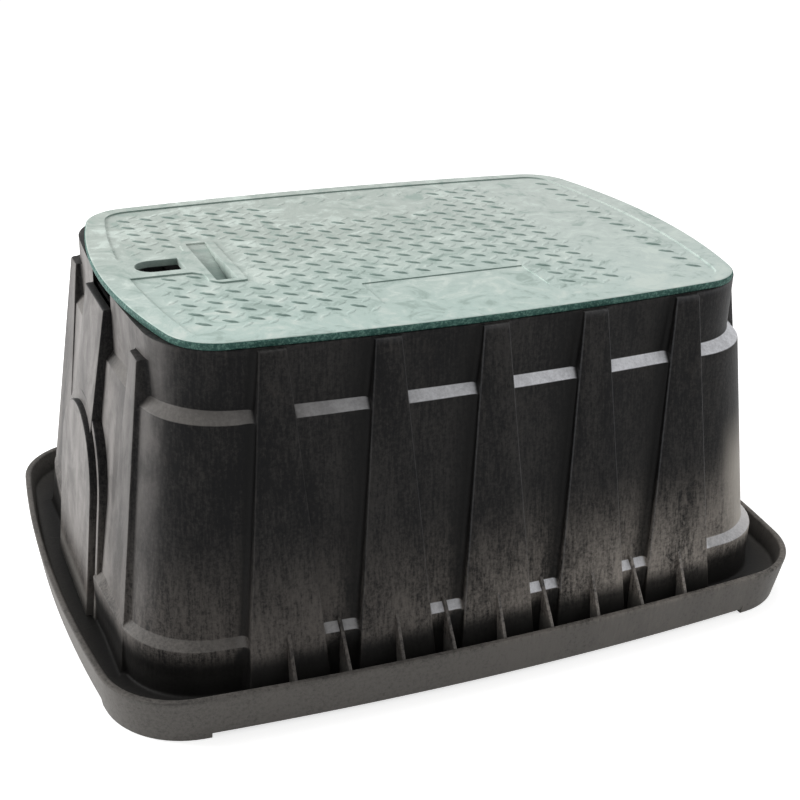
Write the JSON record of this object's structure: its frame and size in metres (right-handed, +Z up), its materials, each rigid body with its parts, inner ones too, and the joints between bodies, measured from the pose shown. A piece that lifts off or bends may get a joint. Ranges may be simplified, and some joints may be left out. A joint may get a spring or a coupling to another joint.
{
  "type": "irrigation valve box",
  "caption": "Rectangular in-ground valve box: flared, ribbed body with a turned-up base flange and arched knock-outs, open underneath, with a lift-off treaded lid.",
  "frame": {"origin": "on the ground under the middle of the box: the centre of the base flange's outline, at the height of its four corner feet", "axes": "+Z up, X along the long sides with the lid's pick hole towards -X, Y across the box"},
  "size_m": [0.666, 0.499, 0.305],
  "materials": {
    "body_plastic": "black foamed polyethylene, matte with a dull sheen and faint upright flow streaks",
    "lid_plastic": "dusty green foamed polyethylene, matte, with pale marbled swirls"
  },
  "bodies": {
    "root": {"box_body": "body_plastic", "lid": "lid_plastic"}
  },
  "joints": []
}
